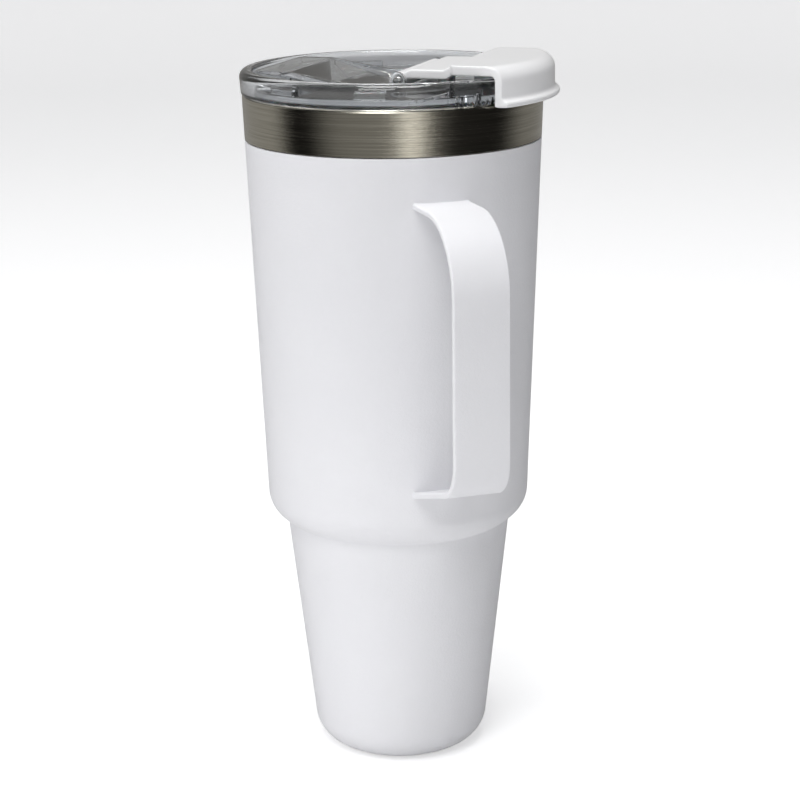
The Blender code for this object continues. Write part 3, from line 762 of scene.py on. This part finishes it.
deck = {
    "lugs": 9, "lugWidth": 0.0100, "lugDepth": 0.0028, "lugHeight": 0.0016, "slotInset": 0.0099,
    "slotLength": 0.0220, "slotWidth": 0.0080, "ventReach": 0.0190, "ventRadius": 0.0013,
    "cheekWall": 0.0016, "cheekClearance": 0.0004,
    "rampFoot": -0.0080, "rampCrest": -0.0300, "rampRise": 0.0080, "rampThickness": 0.0014,
    "windowMargin": 0.0016, "edgeRound": 0.00025, "lowRound": 0.0003, "topRound": 0.0005,
    "lugInset": 0.0004, "through": 0.002,
}
lever = {
    "hingeReach": 0.0090, "hingeRise": 0.0062, "pinRadius": 0.0011, "barrelRadius": 0.0026,
    "stemWidth": 0.0396, "stemThickness": 0.0031, "stemTop": 0.0097, "stemStart": 0.0105,
    "sealMargin": 0.0014, "stepMargin": 0.0026, "stepRun": 0.0043,
    "hookWidth": 0.0570, "hookTop": 0.0123, "hookThickness": 0.0032, "hookShoulder": 0.0045,
    "skirtClearance": 0.0007, "skirtWall": 0.0022, "skirtDrop": 0.0008,
    "lipFlare": 0.0017, "lipHeight": 0.0026, "cornerRound": 0.0030,
    "hookRounds": (0.0010, 0.0009, 0.0009, 0.0005, 0.0012), "pinRound": 0.0002,
    "joinInset": 0.0003, "joinDrop": 0.0016, "beyond": 0.065, "through": 0.03,
    "grain": 0.00032, "melt": 9,
}
slotReach = deckRadius - deck["slotInset"]
stepTop = slotReach - deck["slotWidth"] / 2 - lever["sealMargin"] - lever["stepMargin"]
stepFoot = stepTop - lever["stepRun"]
cheekInner = lever["stemWidth"] / 2 + deck["cheekClearance"]


def makeDeck():
    corners = [
        (0, rimHeight + deckBottom), (deckRadius, rimHeight + deckBottom),
        (deckRadius, rimHeight + deckTop), (0, rimHeight + deckTop),
    ]
    outline = roundCorners(corners, [deck["lowRound"], deck["topRound"]], steps=4)
    disc = turnedMesh("disc", outline, closed=False, segments=160)
    changes = []
    sunk = deckTop - lid["deckThickness"] / 2
    edge = deckRadius - deck["lugInset"]
    for index in range(deck["lugs"]):
        turn = leverAngle + 2 * math.pi * index / deck["lugs"]
        spread = deck["lugWidth"] / 2 / edge
        outline = [(edge * math.cos(spread * k / 4), edge * math.sin(spread * k / 4)) for k in range(-4, 5)]
        inward = edge - deck["lugDepth"]
        outline += [(inward, deck["lugWidth"] / 2), (inward, -deck["lugWidth"] / 2)]
        place = rimFrame @ Matrix.Rotation(turn, 4, "Z")
        changes.append((prismMesh("lug", outline, sunk, deckTop + deck["lugHeight"], place), "UNION"))
    shelf = deckTop + deck["rampThickness"]
    back = -math.sqrt(deckRadius ** 2 - (cheekInner + deck["cheekWall"]) ** 2) + lid["gap"]
    reach, rise, barrel = lever["hingeReach"], lever["hingeRise"], lever["barrelRadius"]
    turns = [math.pi * k / 24 for k in range(25)]
    boss = [(reach + barrel * math.cos(turn), rise + barrel * math.sin(turn)) for turn in turns]
    foot, crest, rampTop = deck["rampFoot"], deck["rampCrest"], deck["rampRise"]
    cheek = [(back, sunk), (reach + barrel, sunk), *boss, (reach - barrel, shelf), (foot, shelf),
             (crest, rampTop), (back, rampTop)]
    for side in (-1, 1):
        near, far = sorted((side * cheekInner, side * (cheekInner + deck["cheekWall"])))
        changes.append((prismMesh("cheek", cheek, near, far, leverSide), "UNION"))
    plateBack = -math.sqrt(deckRadius ** 2 - cheekInner ** 2) + lid["gap"]
    rampLow = rampTop - deck["rampThickness"]
    under = foot + (crest - foot) * deck["rampThickness"] / (rampTop - deckTop)
    ramp = [(under, sunk), (foot, sunk), (foot, deckTop), (crest, rampTop),
            (plateBack, rampTop), (plateBack, rampLow), (crest, rampLow), (under, deckTop)]
    wide = cheekInner + deck["cheekWall"] / 2
    changes.append((prismMesh("ramp", ramp, -wide, wide, leverSide), "UNION"))
    slope = (rampTop - deckTop) / (foot - crest)
    windowBack = crest + deck["windowMargin"]
    low = deckTop + lid["gap"]
    high = rampLow - slope * deck["windowMargin"] - lid["gap"]
    window = [(windowBack, low), (windowBack + (high - low) / slope, low), (windowBack, high)]
    beyond = cheekInner + 2 * deck["cheekWall"]
    changes.append((prismMesh("window", window, -beyond, beyond, leverSide), "DIFFERENCE"))
    hole = circlePoints(lever["pinRadius"] + lid["gap"], (reach, rise), 32)
    changes.append((prismMesh("pinHole", hole, -beyond, beyond, leverSide), "DIFFERENCE"))
    low, high = -deck["through"], deckTop + deck["through"]
    slot = slotPoints(deck["slotLength"], deck["slotWidth"], (slotReach, 0))
    changes.append((prismMesh("slot", slot, low, high, leverFrame), "DIFFERENCE"))
    vent = circlePoints(deck["ventRadius"], (deck["ventReach"], 0), 24)
    changes.append((prismMesh("vent", vent, low, high, leverFrame), "DIFFERENCE"))
    mesh = softEdges(combineMeshes(disc, changes), deck["edgeRound"], segments=2)
    addObject("clearDeck", mesh, clearPlastic, "lid", "lid_deck", 35)


gasket = {"tipInset": 0.0001, "finDrop": 0.0004, "finEdge": 0.0008, "finShare": 0.8, "edgeRound": 0.00015}


def makeGasket():
    root = plugRadius - lid["grooveDepth"] + lid["gap"]
    body = plugRadius + lid["gap"] / 2
    top = -lid["grooveTop"] - lid["gap"]
    bottom = -lid["grooveTop"] - lid["grooveHeight"] + lid["gap"]
    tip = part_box("lid_gasket")[1].x - gasket["tipInset"]
    pitch = (top - bottom) / 2
    outline = [(root, top)]
    for fin in range(2):
        start = top - fin * pitch
        outline += [(body, start), (tip, start - gasket["finDrop"])]
        outline += [(tip, start - gasket["finEdge"]), (body, start - pitch * gasket["finShare"])]
    outline += [(body, bottom), (root, bottom), (root, (top + bottom) / 2), (root, top)]
    placed = [(r, rimHeight + z) for r, z in outline]
    outline = roundCorners(placed, [gasket["edgeRound"]] * 10, steps=3)[:-1]
    mesh = turnedMesh("gasketRing", outline, segments=160)
    addObject("gasketRing", mesh, siliconeWhite, "lid", "lid_gasket", 50)


def makePin():
    half = cheekInner + deck["cheekWall"]
    reach, rise = lever["hingeReach"], lever["hingeRise"]
    outline = circlePoints(lever["pinRadius"], (reach, rise), 32)
    mesh = softEdges(prismMesh("pin", outline, -half, half, leverSide), lever["pinRound"])
    addObject("hingeRod", mesh, pinSteel, "lid", "hinge_pin", 35)


def hookProfile():
    under = lever["hookTop"] - lever["hookThickness"]
    inner = lidTop + lever["skirtClearance"]
    outer = inner + lever["skirtWall"]
    flare = outer + lever["lipFlare"]
    lipTop = lever["lipHeight"] - lever["skirtDrop"]
    corners = [
        (0, lever["hookTop"]),
        (outer, lever["hookTop"]),
        (outer, lipTop),
        (flare, lipTop - lever["lipFlare"] / 2),
        (flare, -lever["skirtDrop"]),
        (inner, -lever["skirtDrop"]),
        (inner, under),
        (0, under),
    ]
    radii = [lever["hookShoulder"], *lever["hookRounds"]]
    return [(p[0], rimHeight + p[1]) for p in roundCorners(corners, radii, steps=8)]


def makeLever():
    hook = turnedMesh("hook", hookProfile(), closed=False, segments=288)
    half = lever["hookWidth"] / 2
    far, through, inset = lever["beyond"], lever["through"], lever["joinInset"]
    corner = lever["cornerRound"]
    keep = roundCorners([(far, 0), (far, half), (stepTop, half), (stepTop, -half), (far, -half), (far, 0)],
                        [0, corner, corner, 0])[:-1]
    stem = lever["stemWidth"] / 2
    low = lever["stemTop"] - lever["stemThickness"]
    under = lever["hookTop"] - lever["hookThickness"]
    climb = math.atan2(lever["hookTop"] - lever["stemTop"], lever["stepRun"])
    shift = lever["stemThickness"] * math.tan(climb / 2)
    side = [
        (lever["stemStart"], low),
        (stepFoot + shift, low),
        (stepTop + shift, under + inset),
        (stepTop + shift, lever["hookTop"] - lever["joinDrop"]),
        (stepTop + inset, lever["hookTop"] - inset),
        (stepFoot, lever["stemTop"]),
        (lever["stemStart"] + lever["barrelRadius"], lever["stemTop"]),
        (lever["stemStart"], lever["stemTop"] - lever["barrelRadius"] / 2),
    ]
    reach, rise = lever["hingeReach"], lever["hingeRise"]
    barrel = circlePoints(lever["barrelRadius"], (reach, rise), 40)
    hole = circlePoints(lever["pinRadius"] + lid["gap"], (reach, rise), 32)
    mesh = combineMeshes(hook, [
        (prismMesh("keep", keep, -through, through, leverFrame), "INTERSECT"),
        (prismMesh("stem", side, -stem, stem, leverSide), "UNION"),
        (prismMesh("barrel", barrel, -stem + inset, stem - inset, leverSide), "UNION"),
        (prismMesh("hole", hole, -through, through, leverSide), "DIFFERENCE"),
    ])
    mesh = meltEdges(mesh, lever["grain"], lever["melt"])
    addObject("flipLever", mesh, whitePlastic, "lever", "flip_lever", 0)


seals = {"spoutRound": 0.0006, "padRadius": 0.0030, "padRound": 0.0005}


def makeSeals():
    margin = 2 * lever["sealMargin"]
    low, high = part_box("spout_seal")
    outline = slotPoints(deck["slotLength"] + margin, deck["slotWidth"] + margin, (slotReach, 0))
    seal = prismMesh("seal", outline, low.z - rimHeight, high.z - rimHeight, leverFrame)
    mesh = softEdges(seal, seals["spoutRound"])
    addObject("spoutSeal", mesh, siliconeWhite, "lever", "spout_seal", 35)
    low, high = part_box("vent_pad")
    outline = circlePoints(seals["padRadius"], (deck["ventReach"], 0), 40)
    pad = prismMesh("pad", outline, low.z - rimHeight, high.z - rimHeight, leverFrame)
    mesh = softEdges(pad, seals["padRound"])
    addObject("ventPad", mesh, siliconeWhite, "lever", "vent_pad", 35)


makeShell()
makeBand()
makeLiner()
makeBaseCap()
makeStrap()
print("cup made")
makeLidRing()
makeDeck()
makeGasket()
makePin()
print("lid made")
makeLever()
makeSeals()
print("lever made")

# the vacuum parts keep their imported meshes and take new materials
hiddenParts = {"vacuum_bulkhead": linerSteel, "vacuum_plug": fusedBead, "vacuum_getter": getterMetal}
for node, material in hiddenParts.items():
    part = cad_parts[node]
    part.data.materials.clear()
    part.data.materials.append(material)


studio = {
    "floorReach": 1.9, "floorCurve": 0.6, "wallTop": 1.1,
    "floorColour": (0.82, 0.82, 0.825), "floorLift": 0.50,
    "fillColour": (0.955, 0.962, 1.0), "fillStrength": 0.20, "clearStrength": 0.75,
    "cameraAngle": math.radians(72), "cameraDistance": 0.7511, "cameraRise": 0.0962, "lens": 100.4,
    "pitch": 0.2653, "yaw": 0.0014, "roll": -0.0137,
}
studioCards = [        # degrees round from the camera, and brightness of what stands there
    (-180, 0.30), (-98, 0.30), (-88, 0.01), (-66, 0.01), (-44, 0.20), (2, 0.26), (11, 1.2), (17, 1.2),
    (26, 0.18), (44, 0.02), (92, 0.012), (116, 0.20), (180, 0.30),
]


def makeCamera():
    # a camera level with the lid and a little above it, looking down at the middle of the cup
    turn = Matrix.Rotation(studio["cameraAngle"], 4, "Z")
    pitch, yaw, roll = studio["pitch"], studio["yaw"], studio["roll"]
    ahead = Vector((math.sin(yaw) * math.cos(pitch), math.cos(yaw) * math.cos(pitch), -math.sin(pitch)))
    right = Vector((math.cos(yaw), -math.sin(yaw), 0))
    up = right.cross(ahead)
    tiltedRight = right * math.cos(roll) + up * math.sin(roll)
    tiltedUp = -right * math.sin(roll) + up * math.cos(roll)
    basis = Matrix((tiltedRight, tiltedUp, -ahead)).transposed().to_4x4()
    data = bpy.data.cameras.new("camera")
    data.lens = studio["lens"]
    data.clip_start = 0.01
    camera = bpy.data.objects.new("camera", data)
    bpy.context.collection.objects.link(camera)
    spot = Vector((0, -studio["cameraDistance"], rimHeight + studio["cameraRise"]))
    camera.matrix_world = turn @ Matrix.Translation(spot) @ basis
    bpy.context.scene.camera = camera


def makeFloor():
    # a paper floor that curves up into a wall all round
    corners = [(0, 0), (studio["floorReach"] + studio["floorCurve"], 0),
               (studio["floorReach"] + studio["floorCurve"], studio["wallTop"])]
    outline = longEdgesSplit(roundCorners(corners, [studio["floorCurve"]], steps=12), 0.4)
    mesh = turnedMesh("floor", outline, closed=False, segments=96)
    mesh.flip_normals()
    made, tree, shader = startMaterial("floorPaper", {
        "Base Color": (*studio["floorColour"], 1), "Roughness": 0.9, "Emission Color": (1, 1, 1, 1)})
    path = place(tree, "ShaderNodeLightPath", -600, -200)
    lift = place(tree, "ShaderNodeMath", -300, -200, operation="MULTIPLY")
    lift.inputs[1].default_value = studio["floorLift"]
    tree.links.new(path.outputs["Is Camera Ray"], lift.inputs[0])
    tree.links.new(lift.outputs[0], shader.inputs["Emission Strength"])
    floor = addObject("floor", mesh, made)
    floor.visible_glossy = False        # the steel reflects the cards, not the paper


def addLight(name, angle, distance, height, width, tall, power, aim, colour=(1, 1, 1)):
    # an upright soft box at an angle round from the camera, to its right
    data = bpy.data.lights.new(name, "AREA")
    data.shape = "RECTANGLE"
    data.size = width
    data.size_y = tall
    data.energy = power
    data.color = colour
    light = bpy.data.objects.new(name, data)
    bpy.context.collection.objects.link(light)
    turn = studio["cameraAngle"] + math.radians(angle)
    spot = Vector((distance * math.sin(turn), -distance * math.cos(turn), height))
    light.location = spot
    light.rotation_euler = (spot - Vector(aim)).to_track_quat("Z", "Y").to_euler()
    return light


def makeLights():
    middle = (0, 0, 0.13)
    addLight("keyBox", -14, 1.0, 1.15, 0.55, 0.55, 6.2, middle)
    sideBox = addLight("leftBox", -85, 1.4, 0.55, 0.8, 0.9, 5.0, middle)
    addLight("topBox", 0, 0.2, 1.6, 0.7, 0.7, 13.5, middle)
    lowBox = addLight("lowBox", -18, 0.22, 0.02, 0.30, 0.04, 0.09, (0, 0, 0.03))
    lowBox.visible_camera = False
    for light in (sideBox, lowBox):
        light.visible_glossy = False


def background(tree, colour, strength, x, y):
    node = place(tree, "ShaderNodeBackground", x, y)
    node.inputs["Color"].default_value = (*colour, 1)
    node.inputs["Strength"].default_value = strength
    return node


def makeWorld():
    # white to the camera, soft fill to the coats, and a ring of dark and light cards to the metal
    world = bpy.data.worlds.new("studioWorld")
    world.use_nodes = True
    tree = world.node_tree
    tree.nodes.clear()
    link = tree.links.new
    where = place(tree, "ShaderNodeTexCoord", -1200, -500)
    split = place(tree, "ShaderNodeSeparateXYZ", -1000, -500)
    turn = place(tree, "ShaderNodeMath", -800, -500, operation="ARCTAN2")
    share = place(tree, "ShaderNodeMath", -600, -500, operation="MULTIPLY_ADD")
    share.inputs[1].default_value = 0.5 / math.pi
    share.inputs[2].default_value = 0.5
    link(where.outputs["Generated"], split.inputs[0])
    link(split.outputs["Y"], turn.inputs[0])
    link(split.outputs["X"], turn.inputs[1])
    link(turn.outputs[0], share.inputs[0])
    ramp = place(tree, "ShaderNodeValToRGB", -400, -500)
    towardsCamera = math.degrees(studio["cameraAngle"]) - 90
    stops = sorted(((angle + towardsCamera) % 360 / 360, level) for angle, level in studioCards[1:])
    stops = [((share + 0.5) % 1, level) for share, level in stops]
    band = ramp.color_ramp.elements
    band.remove(band[1])
    for index, (position, level) in enumerate(sorted(stops)):
        stop = band[0] if index == 0 else band.new(position)
        stop.position = position
        stop.color = (level, level * 0.985, level * 0.95, 1)
    link(share.outputs[0], ramp.inputs[0])
    mirror = background(tree, (1, 1, 1), 1.0, 0, -300)
    link(ramp.outputs[0], mirror.inputs["Color"])
    fill = background(tree, studio["fillColour"], studio["fillStrength"], 0, -100)
    through = background(tree, (1, 1, 1), studio["clearStrength"], 0, 100)
    seen = background(tree, (1, 1, 1), 1.0, 0, 300)
    path = place(tree, "ShaderNodeLightPath", -400, 300)
    last = fill
    rays = (("Is Glossy Ray", mirror), ("Is Transmission Ray", through), ("Is Camera Ray", seen))
    for x, (label, source) in zip((200, 400, 600), rays):
        mix = place(tree, "ShaderNodeMixShader", x, 0)
        link(path.outputs[label], mix.inputs[0])
        link(last.outputs[0], mix.inputs[1])
        link(source.outputs[0], mix.inputs[2])
        last = mix
    output = place(tree, "ShaderNodeOutputWorld", 800, 0)
    link(last.outputs[0], output.inputs[0])
    bpy.context.scene.world = world


makeCamera()
makeFloor()
makeLights()
makeWorld()
bpy.context.scene.view_settings.view_transform = "Standard"
print("studio made")
